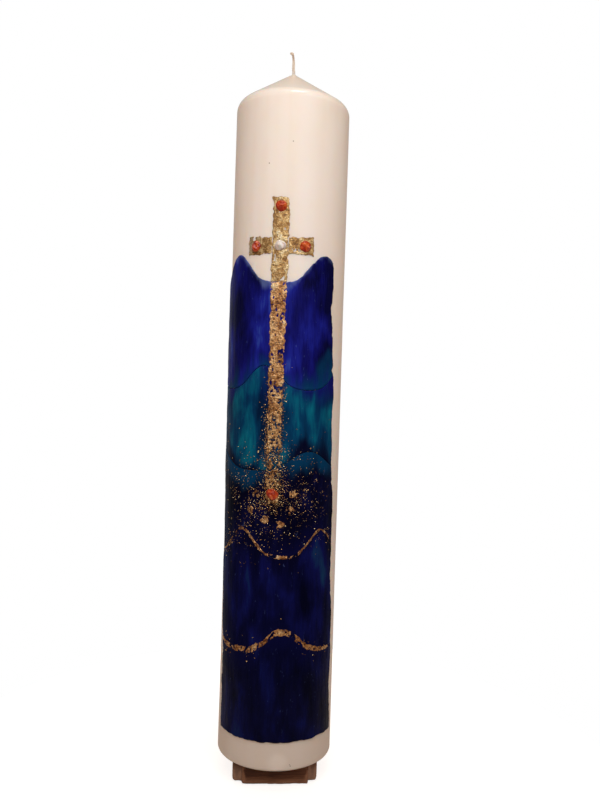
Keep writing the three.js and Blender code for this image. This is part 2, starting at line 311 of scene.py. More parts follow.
def noise(tree, vector, stretch, scale, detail=3.0, roughness=0.5, distortion=0.0, turn=(0, 0, 0)):
    """The output of a Noise Texture whose pattern is stretched along the axes with a small factor."""
    mapping = add_node(tree, "ShaderNodeMapping", {"Vector": vector, "Scale": stretch, "Rotation": turn})
    sockets = {"Vector": mapping.outputs[0], "Scale": scale, "Detail": detail}
    sockets.update({"Roughness": roughness, "Distortion": distortion})
    return add_node(tree, "ShaderNodeTexNoise", sockets).outputs[0]


def blend_of(tree, share, first, second):
    """The colour between two colours."""
    sockets = {0: share, 6: first, 7: second}
    return add_node(tree, "ShaderNodeMix", sockets, data_type="RGBA").outputs[2]


def palette(tree, value, *stops):
    """The colour that a value picks on a scale of (share, paint) stops."""
    ramp = add_node(tree, "ShaderNodeValToRGB", {0: value})
    for _ in stops[2:]:
        ramp.color_ramp.elements.new(0.5)
    for element, (share, code) in zip(ramp.color_ramp.elements, stops):
        element.position = share
        element.color = tint(code)
    return ramp.outputs["Color"]


def bump(tree, shader, height, depth, normal=None):
    """A relief of a depth in millimetres on a shader's surface, on top of an earlier one."""
    sockets = {"Height": height, "Distance": depth * mm, "Strength": 1.0}
    if normal is not None:
        sockets["Normal"] = normal
    relief = add_node(tree, "ShaderNodeBump", sockets).outputs[0]
    tree.links.new(relief, shader.inputs["Normal"])
    return relief


wood, tree, shader = new_finish("dark_waxed_wood", Specular_IOR_Level=0.22)
place = object_place(tree)
heart = [0, -ring_heart[0] * mm, -ring_heart[1] * mm]
centred = add_node(tree, "ShaderNodeMapping", {"Vector": place, "Location": heart}).outputs[0]
ring_scale = 0.314 / (ring_pitch * mm)
sockets = {"Vector": centred, "Scale": ring_scale, "Distortion": 2.2, "Detail": 3.0}
sockets.update({"Detail Scale": 0.35, "Detail Roughness": 0.55})
settings = {"wave_type": "RINGS", "rings_direction": "X", "wave_profile": "SAW"}
rings = add_node(tree, "ShaderNodeTexWave", sockets, **settings).outputs["Fac"]
pores = noise(tree, place, (0.06, 1, 1), 1700, 2.0)
cloud = noise(tree, place, (0.4, 1, 1), 60, 3.0)
grain = math_node(tree, "MULTIPLY_ADD", rings, 0.13, math_node(tree, "MULTIPLY", cloud, 0.85))
grain = math_node(tree, "MULTIPLY_ADD", pores, 0.35, math_node(tree, "SUBTRACT", grain, 0.17))
colour = palette(tree, grain, (0.2, "#2d150b"), (0.42, "#492818"), (0.6, "#5f3923"), (0.8, "#794f37"))
worn_edge = add_node(tree, "ShaderNodeAttribute", attribute_name="wear").outputs["Fac"]
at = parts_of(tree, place)
# Besides the worn edges, the block is painted lighter towards its bottom: painted light on its lower part,
# below the candle's shadow.
wear = math_node(tree, "ADD", worn_edge, ramp_between(tree, at["Z"], 12 * mm, 3 * mm, 0.0, 0.55))
lightened = ramp_between(tree, math_node(tree, "MULTIPLY_ADD", pores, 0.5, wear), 0.45, 1.15, 0, 0.6)
colour = blend_of(tree, lightened, colour, tint("#9c7054"))
# The two ends beyond the notches are painted lighter, as painted light from the side, which fades towards the
# top of the block as a painted shadow of the candle.
from_middle = math_node(tree, "ABSOLUTE", at["X"])
notch_foot = block_high.x - notch_width
painted_light_on_ends = ramp_between(tree, from_middle, (notch_foot - 0.4) * mm, (notch_foot + 0.4) * mm, 0.0, 0.42)
painted_light_on_ends = math_node(tree, "MULTIPLY", painted_light_on_ends, ramp_between(tree, at["Z"], 17 * mm, 9 * mm, 0.3, 1.0))
colour = blend_of(tree, painted_light_on_ends, colour, tint("#a98c79"))
tree.links.new(colour, shader.inputs["Base Color"])
tree.links.new(ramp_between(tree, grain, 0.2, 0.8, 0.62, 0.42), shader.inputs["Roughness"])
bump(tree, shader, grain, 0.12)

half_width = block_high.x
half_depth = block_high.y
inner_x = half_width - notch_width
inner_y = half_depth - notch_depth
right_side = [(inner_x, -half_depth), (inner_x, -inner_y), (half_width, -inner_y)]
right_side += [(x, -y) for x, y in reversed(right_side)]
plan = right_side + [(-x, y) for x, y in reversed(right_side)]
block_mesh = bmesh.new()
bottom = block_mesh.faces.new([block_mesh.verts.new((x * mm, y * mm, 0)) for x, y in plan])
top = bmesh.ops.extrude_face_region(block_mesh, geom=[bottom])["geom"]
raised = [part for part in top if isinstance(part, bmesh.types.BMVert)]
bmesh.ops.translate(block_mesh, verts=raised, vec=(0, 0, block_high.z * mm))
bmesh.ops.recalc_face_normals(block_mesh, faces=block_mesh.faces)
edges = list(block_mesh.edges)
bmesh.ops.bevel(block_mesh, geom=edges, offset=block_rounding * mm, segments=3, profile=0.5, affect="EDGES")
rough_block = new_object("rough_block", bpy.data.meshes.new("rough_block"))
block_mesh.to_mesh(rough_block.data)
block_mesh.free()

past_top = block_high.z + 5
hole = [(0.05, wood_under_spike), (spike_hole_radius, wood_under_spike)]
hole += [(spike_hole_radius, past_top), (0.05, past_top)]
drill = add_mesh("drill", *turned(hole, 48))
drilling = rough_block.modifiers.new("drilling", "BOOLEAN")
drilling.object = drill
drilling.solver = "EXACT"
remesh = rough_block.modifiers.new("fine grid", "REMESH")
remesh.mode = "VOXEL"
remesh.voxel_size = wood_fineness * mm
fine = evaluated_mesh(rough_block, "foot_block_wood")
bpy.data.objects.remove(rough_block)
bpy.data.objects.remove(drill)

places = np.empty(len(fine.vertices) * 3)
fine.vertices.foreach_get("co", places)
places = places.reshape(-1, 3) / mm
pairs = np.empty(len(fine.edges) * 2, int)
fine.edges.foreach_get("vertices", pairs)
pairs = pairs.reshape(-1, 2)
soft = places
for _ in range(softening_rounds):
    soft = neighbours_mean(soft, pairs)
edge_share = np.clip(np.linalg.norm(soft - places, axis=1) / worn_depth, 0, 1)
rubbing = ripple(places[:, 0] / 9 + places[:, 2] / 5, places[:, 1] / 7, 41)
rubbing += 0.6 * ripple(places[:, 0] / 2.6, (places[:, 1] + places[:, 2]) / 2.1, 42)
worn_share = np.clip(0.45 + 0.75 * rubbing, 0, 1) * edge_share
worn = places + (soft - places) * worn_share[:, None]
from_heart = np.hypot(worn[:, 1] - ring_heart[0], worn[:, 2] - ring_heart[1])
rings_at = from_heart / ring_pitch + 0.6 * ripple(worn[:, 0] / 34, from_heart / 9, 43)
outward = worn - np.array([0, 0, block_high.z / 2])
near_face = np.abs(outward) > np.array([half_width, half_depth, block_high.z / 2]) * 0.86
outward = np.sign(outward) * near_face
furrow = 0.05 * ((rings_at % 1) - 0.5) + 0.05 * ripple(worn[:, 0] / 14, (worn[:, 1] + worn[:, 2]) / 0.9, 44)
worn -= outward * np.clip(furrow + 0.08, 0, 0.3)[:, None]
worn[:, 2] = np.clip(worn[:, 2], 0, block_high.z)
fine.vertices.foreach_set("co", (worn * mm).ravel())
fine.update()
fine.shade_smooth()
fine.materials.clear()
fine.materials.append(wood)
foot_block = new_object("foot_block_wood", fine)
set_attribute(foot_block, "wear", edge_share * np.clip(0.6 + 0.5 * rubbing, 0, 1))
hand_over(foot_block, "foot", "dark_wood", "foot_block")


# The spike: turned steel with a barbed shank, which is driven into the block and holds by its barbs, and a
# long point, on which the candle is pushed down. It carries the fine rings that the lathe leaves.
spike_low, spike_high = (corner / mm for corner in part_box("foot_spike"))
shank_radius = 4
barb_height = 0.6
barb_count = 3
point_length = 33
tip_radius = 0.6
shank_top = block_high.z - 3

steel, tree, shader = new_finish("turned_steel", Metallic=1.0, Anisotropic=0.4)
place = object_place(tree)
tool_marks = noise(tree, place, (0.05, 0.05, 1), 3200, 3.0)
stain = noise(tree, place, (1, 1, 1), 140, 4.0)
colour = palette(tree, stain, (0.3, "#8b8a87"), (0.6, "#b3b2ae"), (0.8, "#c6c5c1"))
tree.links.new(colour, shader.inputs["Base Color"])
tree.links.new(ramp_between(tree, tool_marks, 0.3, 0.7, 0.24, 0.42), shader.inputs["Roughness"])
bump(tree, shader, tool_marks, 0.03)

outline = [(0.05, spike_low.z), (shank_radius - 0.5, spike_low.z), (shank_radius, spike_low.z + 0.5)]
barb_pitch = (shank_top - spike_low.z) / barb_count
for barb in range(barb_count):
    foot = spike_low.z + barb * barb_pitch
    outline += [(shank_radius, foot + 0.1 * barb_pitch + 0.45)]
    outline += [(shank_radius + barb_height, foot + 0.75 * barb_pitch)]
    outline += [(shank_radius + barb_height, foot + 0.79 * barb_pitch)]
    outline += [(shank_radius, foot + 0.88 * barb_pitch)]
point_foot = spike_high.z - point_length
for share in np.linspace(0, 1, 9):
    outline += [(shank_radius, shank_top + share * (point_foot - shank_top))]
for share in np.linspace(0.02, 1, 24):
    bulge = 0.16 * math.sin(math.pi * share)
    radius = shank_radius + (tip_radius - shank_radius) * share
    outline += [(radius + bulge, point_foot + share * (spike_high.z - tip_radius - point_foot))]
for share in (0.35, 0.65, 0.88):
    rounding = math.radians(90 * share)
    outline += [(tip_radius * math.cos(rounding), spike_high.z - tip_radius * (1 - math.sin(rounding)))]
outline += [(0.02, spike_high.z)]
spike = add_mesh("foot_spike_steel", *turned(outline, 96), steel, 35)
hand_over(spike, "foot", "spike_steel", "foot_spike")


# The pillar: ivory candle wax, pressed in a tube with a channel for the wick and bored from below for the
# spike. It was dipped once for its skin, which is yellower on the cone and is drawn up round the wick.
pillar_low, pillar_high = (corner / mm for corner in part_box("candle_body"))
pillar_foot = pillar_low.z
wax_radius = pillar_high.x
wall_height = 562
shoulder_radius = 10
cone_slope = math.radians(33.4)
foot_rounding = 2.6
channel_radius = 1.55
collar_lip = 1.3
collar_root = 3.3
collar_height = 4.5
collar_lift = 1.0
cone_lift = 0.3
cone_tilt = -0.02
cone_shift = -0.8
bore_radius = 4.35
bore_depth = 50
bore_bevel = 0.4
pillar_sides = 240
specks = [(-2.5, 524.3, 0.65), (-25.3, 506.5, 0.65), (12.6, 5.8, 0.5), (13.2, 4.6, 0.6)]
pale_spot = (2, 8)
pale_reach = (26, 18)

ivory, tree, shader = new_finish("ivory_candle_wax", Subsurface_Weight=0.35, Specular_IOR_Level=0.14)
shader.inputs["Coat Roughness"].default_value = 0.17
shader.inputs["Subsurface Radius"].default_value = (1.0, 0.62, 0.4)
shader.inputs["Subsurface Scale"].default_value = 6 * mm
place = object_place(tree)
height = parts_of(tree, place)["Z"]
bands = noise(tree, place, (1, 1, 0.03), 55, 2.0)
cloud = noise(tree, place, (1, 1, 0.5), 22, 4.0)
tone = math_node(tree, "MULTIPLY_ADD", bands, 0.5, math_node(tree, "MULTIPLY", cloud, 0.5))
colour = palette(tree, tone, (0.3, "#efe4d5"), (0.5, "#f5eee4"), (0.72, "#f8f3ed"))
shoulder_foot = pillar_foot + wall_height
dipped = ramp_between(tree, height, (shoulder_foot + 1) * mm, (shoulder_foot + 20) * mm, 0.0, 0.3)
colour = blend_of(tree, dipped, colour, tint("#ecd2a8"))
skinned = ramp_between(tree, height, (shoulder_foot + 1.5) * mm, (shoulder_foot + 3.2) * mm, 0.08, 0.8)
tree.links.new(skinned, shader.inputs["Coat Weight"])
# The wall is painted darker towards its foot: painted shade, as less light reaches it there.
painted_shade_and_browning = ramp_between(tree, height, (pillar_foot + 110) * mm, pillar_foot * mm, 0.0, 0.75)
colour = blend_of(tree, painted_shade_and_browning, colour, tint("#d5cac0"))


def away_from(degrees, up):
    """How far a point is from a spot on the wall, which is so far round to the right and above the foot."""
    turn = math.radians(degrees)
    spot = (wax_radius * math.sin(turn), -wax_radius * math.cos(turn), pillar_foot + up)
    return vector_node(tree, "DISTANCE", {0: place, 1: [length * mm for length in spot]}, "Value")


# The wall is paler in a hazy patch just above its foot.
away = math_node(tree, "MULTIPLY_ADD", cloud, 30 * mm, away_from(*pale_spot))
lightened = ramp_between(tree, away, pale_reach[0] * mm, pale_reach[1] * mm, 0.0, 0.35)
colour = blend_of(tree, lightened, colour, tint("#f8f2ea"))
for degrees, up, size in specks:
    dark = ramp_between(tree, away_from(degrees, up), size * mm, 0.4 * size * mm, 0.0, 0.95)
    colour = blend_of(tree, dark, colour, tint("#7d6857"))
tree.links.new(colour, shader.inputs["Base Color"])
sheen = noise(tree, place, (1, 1, 0.2), 120, 4.0)
tree.links.new(ramp_between(tree, sheen, 0.3, 0.7, 0.42, 0.58), shader.inputs["Roughness"])
skin = noise(tree, place, (1, 1, 1), 900, 3.0)
bump(tree, shader, skin, 0.02, bump(tree, shader, sheen, 0.05))

shoulder_turn = np.linspace(0, math.pi / 2 - cone_slope, 16)
shoulder = np.stack([wax_radius - shoulder_radius + shoulder_radius * np.cos(shoulder_turn),
                     wall_height + shoulder_radius * np.sin(shoulder_turn)], 1)
cone_end_height = shoulder[-1][1] + (shoulder[-1][0] - collar_root) * math.tan(cone_slope)
foot_turn = np.linspace(-math.pi / 2, 0, 8)
outline = [(bore_radius, bore_depth), (bore_radius, bore_depth / 2), (bore_radius, bore_bevel)]
outline += [(bore_radius + bore_bevel, 0)]
outline += [(radius, 0) for radius in np.linspace(12, wax_radius - foot_rounding - 0.5, 8)]
outline += [(wax_radius - foot_rounding + foot_rounding * math.cos(turn),
             foot_rounding + foot_rounding * math.sin(turn)) for turn in foot_turn]
outline += [(wax_radius, height) for height in np.linspace(foot_rounding, wall_height, 170)[1:-1]]
outline += shoulder.tolist()
for share in np.linspace(0, 1, 26)[1:-1]:
    outline += [tuple(shoulder[-1] + share * (np.array([collar_root, cone_end_height]) - shoulder[-1]))]
for share in np.linspace(0, 1, 14):
    flare = (1 - share) ** 3.2
    outline += [(collar_lip + flare * (collar_root - collar_lip), cone_end_height + share * collar_height)]
outline += [(collar_lip - 0.12, cone_end_height + collar_height + 0.05)]
outline += [(collar_lip - 0.15, cone_end_height + collar_height - 0.3), (channel_radius, cone_end_height)]
outline += [(channel_radius, height) for height in np.linspace(cone_end_height - 4, bore_depth, 12)]
outline += [outline[0]]
places, faces = turned(outline, pillar_sides)
radius = np.hypot(places[:, 0], places[:, 1])
turn = np.arctan2(places[:, 1], places[:, 0]) / (2 * math.pi) + 0.5
up = places[:, 2].copy()
skin_share = np.clip((radius - collar_root) / 12, 0, 1) * np.clip(up / 3, 0, 1)
swelling = 0.13 * ripple(turn * 7, up / 75, 51, 7) + 0.05 * ripple(turn * 26, up / 14, 52, 26)
places[:, :2] *= (1 + skin_share * (swelling - 0.05) / np.maximum(radius, 1))[:, None]
collar_share = np.clip((up - cone_end_height) / collar_height, 0, 1) * (radius < collar_root)
places[:, 2] += collar_lift * collar_share * (0.5 * np.cos(2 * math.pi * (turn - 0.5)) - 0.5)
places[:, 2] += np.clip((up - wall_height) / shoulder_radius, 0, 1) * (cone_lift + cone_tilt * places[:, 0])
places[:, 0] += cone_shift * np.clip((up - wall_height) / (cone_end_height - wall_height), 0, 1)
places[:, 2] += pillar_foot
pillar = add_mesh("pillar_wax", places, faces, ivory, 50)
hand_over(pillar, "candle", "ivory_wax", "candle_body")


# The wick: eight strands of cotton, braided flat and soaked in wax. It runs up the pillar's channel, twists
# and wavers a little above the wax, and ends in a small hook to the left with a bead of wax on it.
wick_stub = 18
strand_radius = 0.36
braid_width = 0.92
braid_thickness = 0.6
braid_pitch = 7.5
braid_twist = 36
braid_step = 0.5
strand_count = 8
bead_radius = 1.3

cotton, tree, shader = new_finish("waxed_cotton", Specular_IOR_Level=0.3, Roughness=0.6)
shader.inputs["Sheen Weight"].default_value = 0.2
place = object_place(tree)
height = parts_of(tree, place)["Z"]
fibre = noise(tree, place, (1, 1, 0.4), 4200, 3.0)
stain = noise(tree, place, (1, 1, 0.6), 260, 3.0)
colour = palette(tree, stain, (0.3, "#d6c3ac"), (0.5, "#e8dccb"), (0.7, "#f3ebde"))
# The wick is browned in a band below its clean tip.
painted_shade_and_browning = ramp_between(tree, height, (pillar_high.z + 9) * mm, (pillar_high.z + 12) * mm, 0.0, 0.6)
clean = ramp_between(tree, height, (pillar_high.z + 14) * mm, (pillar_high.z + 15.5) * mm, 1.0, 0.0)
colour = blend_of(tree, math_node(tree, "MULTIPLY", painted_shade_and_browning, clean), colour, tint("#a98d76"))
colour = blend_of(tree, ramp_between(tree, fibre, 0.45, 0.75, 0.0, 0.25), colour, tint("#b89d82"))
tree.links.new(colour, shader.inputs["Base Color"])
bump(tree, shader, fibre, 0.08)


def smooth_route(stations, step):
    """Places about a step apart on a smooth curve through the stations."""
    stations = np.asarray(stations, float)
    ends = np.concatenate([[2 * stations[0] - stations[1]], stations, [2 * stations[-1] - stations[-2]]])
    places = []
    for a, b, c, d in zip(ends, ends[1:], ends[2:], ends[3:]):
        steps = max(2, round(np.linalg.norm(c - b) / step))
        t = np.arange(steps)[:, None] / steps
        places.append(b + 0.5 * t * (c - a + t * (2 * a - 5 * b + 4 * c - d + t * (3 * b - 3 * c + d - a))))
    return np.concatenate([*places, stations[-1:]])


def add_socket(tree, name, kind, value=None, out=False):
    """A named input, or output, of a Geometry Nodes tree. Returns what a modifier calls it."""
    where = "OUTPUT" if out else "INPUT"
    socket = tree.interface.new_socket(name, in_out=where, socket_type="NodeSocket" + kind)
    if value is not None:
        socket.default_value = value
    return socket.identifier


def grown(carrier, name, tree, inputs, values):
    """The plain mesh that a Geometry Nodes tree makes on a carrier, which is then taken away."""
    growing = carrier.modifiers.new(name, "NODES")
    growing.node_group = tree
    for socket, value in values.items():
        growing[inputs[socket]] = value
    mesh = evaluated_mesh(carrier, name)
    bpy.data.objects.remove(carrier)
    return mesh


braid = bpy.data.node_groups.new("braided_wick", "GeometryNodeTree")
add_socket(braid, "Route", "Geometry")
braid_sizes = {"Strand Radius": strand_radius, "Braid Width": braid_width}
braid_sizes.update({"Braid Thickness": braid_thickness, "Pitch": braid_pitch})
braid_sizes.update({"Twist": braid_twist, "Step": braid_step})
braid_inputs = {name: add_socket(braid, name, "Float", size * mm) for name, size in braid_sizes.items()}
braid_inputs["Strands"] = add_socket(braid, "Strands", "Int", strand_count)
braid_inputs["Finish"] = add_socket(braid, "Finish", "Material")
add_socket(braid, "Braid", "Geometry", out=True)
given = add_node(braid, "NodeGroupInput").outputs
line = add_node(braid, "GeometryNodeMeshToCurve", {0: given["Route"]}).outputs[0]
even = add_node(braid, "GeometryNodeResampleCurve", {"Curve": line, "Length": given["Step"]}, mode="LENGTH")
copies = add_node(braid, "GeometryNodeDuplicateElements", {0: even.outputs[0], "Amount": given["Strands"]})
copies.domain = "SPLINE"
number = copies.outputs["Duplicate Index"]
along = add_node(braid, "GeometryNodeSplineParameter").outputs["Length"]
odd = math_node(braid, "MODULO", number, 2.0)
hand = math_node(braid, "MULTIPLY_ADD", odd, -2.0, 1.0)
place_in_ring = math_node(braid, "DIVIDE", math_node(braid, "SUBTRACT", number, odd), given["Strands"])
turns = math_node(braid, "DIVIDE", along, given["Pitch"])
angle = math_node(braid, "MULTIPLY_ADD", turns, hand, place_in_ring)
angle = math_node(braid, "MULTIPLY", angle, 2 * math.pi)
weaving = math_node(braid, "COSINE", math_node(braid, "MULTIPLY", turns, 8 * math.pi))
weaving = math_node(braid, "MULTIPLY", weaving, math_node(braid, "MULTIPLY", hand, 0.17))
wide = math_node(braid, "MULTIPLY_ADD", weaving, given["Braid Width"], given["Braid Width"])
thick = math_node(braid, "MULTIPLY_ADD", weaving, given["Braid Thickness"], given["Braid Thickness"])
wide = math_node(braid, "MULTIPLY", math_node(braid, "COSINE", angle), wide)
thick = math_node(braid, "MULTIPLY", math_node(braid, "SINE", angle), thick)
flat = add_node(braid, "ShaderNodeCombineXYZ", {0: wide, 1: thick}).outputs[0]
twist = math_node(braid, "MULTIPLY", math_node(braid, "DIVIDE", along, given["Twist"]), 2 * math.pi)
flat = add_node(braid, "ShaderNodeVectorRotate", {"Vector": flat, "Angle": twist}, rotation_type="Z_AXIS")
flat = parts_of(braid, flat.outputs[0])
tangent = add_node(braid, "GeometryNodeInputTangent").outputs[0]
normal = add_node(braid, "GeometryNodeInputNormal").outputs[0]
side = vector_node(braid, "CROSS_PRODUCT", {0: tangent, 1: normal})
normal = vector_node(braid, "SCALE", {0: normal, "Scale": flat[0]})
side = vector_node(braid, "SCALE", {0: side, "Scale": flat[1]})
offset = vector_node(braid, "ADD", {0: normal, 1: side})
strands = add_node(braid, "GeometryNodeSetPosition", {"Geometry": copies.outputs[0], "Offset": offset})
sockets = {"Resolution": 6, "Radius": given["Strand Radius"]}
thread = add_node(braid, "GeometryNodeCurvePrimitiveCircle", sockets).outputs[0]
sockets = {"Curve": strands.outputs[0], "Profile Curve": thread, "Fill Caps": True}
tubes = add_node(braid, "GeometryNodeCurveToMesh", sockets).outputs[0]
plain = add_node(braid, "GeometryNodeRealizeInstances", {"Geometry": tubes}).outputs[0]
dyed = add_node(braid, "GeometryNodeSetMaterial", {"Geometry": plain, "Material": given["Finish"]})
add_node(braid, "NodeGroupOutput", {0: dyed.outputs[0]})

wick_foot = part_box("wick")[0].z / mm
stub_foot = pillar_high.z
stations = [(0, 0, wick_foot + 0.2), (0, 0, stub_foot / 2)]
stations += [(0, 0, shoulder_foot - 30), (0, 0, shoulder_foot)]
stations += [(cone_shift, 0, stub_foot - 4), (cone_shift, 0, stub_foot)]
wavers = [(-0.3, 0.15), (-0.3, 0.4), (-0.5, 0.6), (-1.0, 0.78), (-1.4, 0.87), (-1.9, 0.9)]
for turn, (aside, share) in enumerate(wavers):
    stations += [(cone_shift + aside, 0.1 * (-1) ** turn, stub_foot + share * wick_stub)]
route = smooth_route(stations, braid_step)
line_mesh = bpy.data.meshes.new("wick_route")
line_mesh.from_pydata((route * mm).tolist(), [(i, i + 1) for i in range(len(route) - 1)], [])
wick_line = new_object("wick_route", line_mesh)
braid_values = {name: size * mm for name, size in braid_sizes.items()}
braid_values.update({"Strands": strand_count, "Finish": cotton})
wick_mesh = grown(wick_line, "wick_braid", braid, braid_inputs, braid_values)
wick_mesh.shade_smooth()

bead = bmesh.new()
bead.from_mesh(wick_mesh)
core = bmesh.ops.create_icosphere(bead, subdivisions=3, radius=bead_radius * mm)["verts"]
for vertex in core:
    place = np.array(vertex.co) / mm
    lump = 1 + 0.12 * ripple(place[0] * 1.4 + 9, place[1] + place[2] * 1.3 + 9, 61)
    vertex.co = Vector((place * lump * (1.15, 0.95, 0.9) + route[-1] + (-0.3, 0, -0.1)) * mm)
for face in bead.faces:
    face.smooth = True
bead.to_mesh(wick_mesh)
bead.free()
wick = new_object("wick_braid", wick_mesh)
hand_over(wick, "candle", "waxed_cotton", "wick")


# The dressing's ground: five bands of coloured wax sheet, cut in swells with a knife, pressed on warm and
# butted edge to edge. Their faces were brushed with melted wax, so colours run into each other at the seams.
facing = math.radians(-12)
sheet_thickness = 1
sheet_gap = 0.3
sheet_width = 116
sheet_foot = 25
sheet_lean = 18
sheet_radius = wax_radius + sheet_gap + sheet_thickness
swell_length = 84
swell_rise = 12
bare_wax_above = 84
head_length = 40
crest_below_arm = 6
top_rise = 15
side_stray = 1.6
side_stray_length = 105
edge_offsets = [0, 0.06, 0.16, 0.32, 0.6]
edge_rounding = 0.5
seam_gap = 0.06
far_away = 99
sheet_fineness = 0.8
cross_top = wall_height - bare_wax_above
arm_level = cross_top - head_length
sheet_top = arm_level - crest_below_arm


def stray(place, size, length, phase):
    """How far an edge that is cut or torn by hand strays from its line."""
    turn = 2 * math.pi * place / length
    return size * (np.sin(turn + phase) + 0.5 * np.sin(2.3 * turn + 2 * phase)) / 1.5


def swell(share, rise, length, crest):
    """The line of a seam: its mean level, rise, length and the place of its crest."""
    level = sheet_foot + share * (sheet_top - sheet_foot)
    return level, rise * swell_rise, length * swell_length, crest * swell_length


swells = [swell(0.2, 0.9, 1, 0.14), swell(0.4, 1.1, 0.83, -0.31), swell(0.57, 0.85, 1.14, 0.36)]
swells += [swell(0.74, 1, 0.88, -0.12)]
swells += [(sheet_top - top_rise, top_rise, 0.96 * swell_length, 0.48 * swell_length)]


def seam_height(across, seam):
    """The height of a seam above the pillar's foot. Its crests are sharper than its troughs."""
    level, rise, length, crest = swells[seam]
    phase = 2 * math.pi * (across - crest) / length
    return level + rise * (np.cos(phase) + 0.22 * np.cos(2 * phase)) / 1.22


def sheet_middle(up):
    """The sheet's middle, which leans to the left as it goes up."""
    return sheet_lean * (0.5 - (up - sheet_foot) / (sheet_top - sheet_foot))


def sheet_side(side, up):
    """The hand-cut side of the sheet, left or right, with small nicks of the knife."""
    nicks = 0.4 * ripple(up / 5.5, up * 0 + side, 71) + 0.22 * ripple(up / 1.7, up * 0 + side, 72)
    slip = 2.0 * np.clip(ripple(up / 6, up * 0 + 3 * side, 73) - 0.4, 0, 1)
    reach = sheet_width / 2 + stray(up, side_stray, side_stray_length, side) + nicks - slip
    return sheet_middle(up) + side * reach


def across_sheet(share, up):
    """The place across at a share of the way from the sheet's left side to its right one."""
    return sheet_side(-1, up) * (1 - share) + sheet_side(1, up) * share


def seam_at(share, seam):
    """The height of a seam at a share of the way across the sheet."""
    up = swells[seam][0] + 0 * share
    for _ in range(6):
        up = seam_height(across_sheet(share, up), seam)
    return up


def brushed(across, up):
    """The relief that brush, bristles and hand leave on the sheet."""
    slanted = across + 0.06 * up
    strokes = ripple(slanted / 5.2, up / 34, 81)
    bristles = ripple(slanted / 1.3, up / 19, 82)
    hand = ripple(across / 21, up / 27, 83)
    dabs = np.clip(ripple(across / 6 + 7, up / 9, 84) - 0.25, 0, 1)
    return 0.13 * strokes + 0.06 * bristles + 0.16 * hand + 0.22 * dabs


def on_pillar(across, up, radius):
    """Places at a radius, from how far across the dressing and how far above the pillar's foot they lie."""
    turn = facing + across / wax_radius
    return np.stack([radius * np.sin(turn), -radius * np.cos(turn), pillar_foot + up], -1)


def pressed(name, across, up, inner, outer, finish, kept=None, sharp=40):
    """A closed skin between two radii of the pillar, on a grid. A cell that isn't kept is a hole."""
    rows, columns = across.shape
    kept = np.ones((rows - 1, columns - 1), bool) if kept is None else kept
    layers = [on_pillar(across, up, radius) for radius in (inner, outer)]
    places = np.concatenate([layer.reshape(-1, 3) for layer in layers])
    corner = np.arange(rows * columns).reshape(rows, columns)
    a, b, c, d = corner[:-1, :-1], corner[:-1, 1:], corner[1:, 1:], corner[1:, :-1]
    raised = rows * columns
    framed = np.pad(kept, 1)
    faces = [np.stack([a, b, c, d], 2)[kept] + raised, np.stack([a, d, c, b], 2)[kept]]
    for start, end, neighbour in ((a, b, framed[:-2, 1:-1]), (b, c, framed[1:-1, 2:]),
                                  (c, d, framed[2:, 1:-1]), (d, a, framed[1:-1, :-2])):
        rim = kept & ~neighbour
        faces.append(np.stack([end + raised, start + raised, start, end], 2)[rim])
    faces = np.concatenate(faces)
    used, faces = np.unique(faces, return_inverse=True)
    piece = add_mesh(name, places[used], faces.reshape(-1, 4).tolist(), finish, sharp)
    lay = np.stack([across, up, across * 0], 2).reshape(-1, 3)
    set_attribute(piece, "lay", np.concatenate([lay, lay])[used] * mm)
    return piece, used % raised


def brushed_finish(name, paints, below, above):
    """Glossy wax in four paints from deep to light, brushed upright, which takes on the paint of the band
    below and of the one above at its seams."""
    finish, tree, shader = new_finish(name, Specular_IOR_Level=0.045)
    lay = add_node(tree, "ShaderNodeAttribute", attribute_name="lay").outputs["Vector"]
    seams = add_node(tree, "ShaderNodeAttribute", attribute_name="seams").outputs["Vector"]
    seams = parts_of(tree, seams)
    slant = (0, 0, math.radians(3))
    haze = noise(tree, lay, (1, 0.55, 1), 34, 2.0, 0.5, 0.4)
    broad = noise(tree, lay, (1, 0.3, 1), 80, 3.0, 0.5, 0.5, slant)
    stroke = noise(tree, lay, (1, 0.14, 1), 300, 3.0, 0.5, 0.4, slant)
    bristle = noise(tree, lay, (1, 0.05, 1), 1500, 3.0, 0.6, 0.2, slant)
    tone = math_node(tree, "MULTIPLY_ADD", haze, 0.5, math_node(tree, "MULTIPLY", broad, 0.33))
    tone = math_node(tree, "MULTIPLY_ADD", bristle, 0.05, tone)
    tone = math_node(tree, "MULTIPLY_ADD", stroke, 0.12, tone)
    colour = palette(tree, tone, *zip((0.4, 0.5, 0.575, 0.68), paints))
    wander = math_node(tree, "MULTIPLY", math_node(tree, "SUBTRACT", haze, 0.5), 70 * mm)
    wander = math_node(tree, "MULTIPLY_ADD", math_node(tree, "SUBTRACT", broad, 0.5), 30 * mm, wander)
    for distance, paint in ((seams["X"], below), (seams["Y"], above)):
        near = math_node(tree, "ADD", distance, wander)
        colour = blend_of(tree, ramp_between(tree, near, 17 * mm, -5 * mm, 0.0, 0.9), colour, tint(paint))
    thin = math_node(tree, "MULTIPLY_ADD", math_node(tree, "SUBTRACT", broad, 0.62), -30 * mm, seams["Z"])
    thin = ramp_between(tree, thin, 9 * mm, 0.5 * mm, 0.0, 0.5)
    colour = blend_of(tree, thin, colour, tint("#6f86bd"))
    scratch = noise(tree, lay, (1, 0.32, 1), 460, 1.0, 0.5, 1.5, (0, 0, math.radians(-35)))
    colour = blend_of(tree, ramp_between(tree, scratch, 0.72, 0.78, 0.0, 0.22), colour, tint("#5b72b4"))
    tree.links.new(colour, shader.inputs["Base Color"])
    tree.links.new(ramp_between(tree, bristle, 0.3, 0.7, 0.22, 0.44), shader.inputs["Roughness"])
    bump(tree, shader, bristle, 0.04, bump(tree, shader, stroke, 0.16))
    return finish


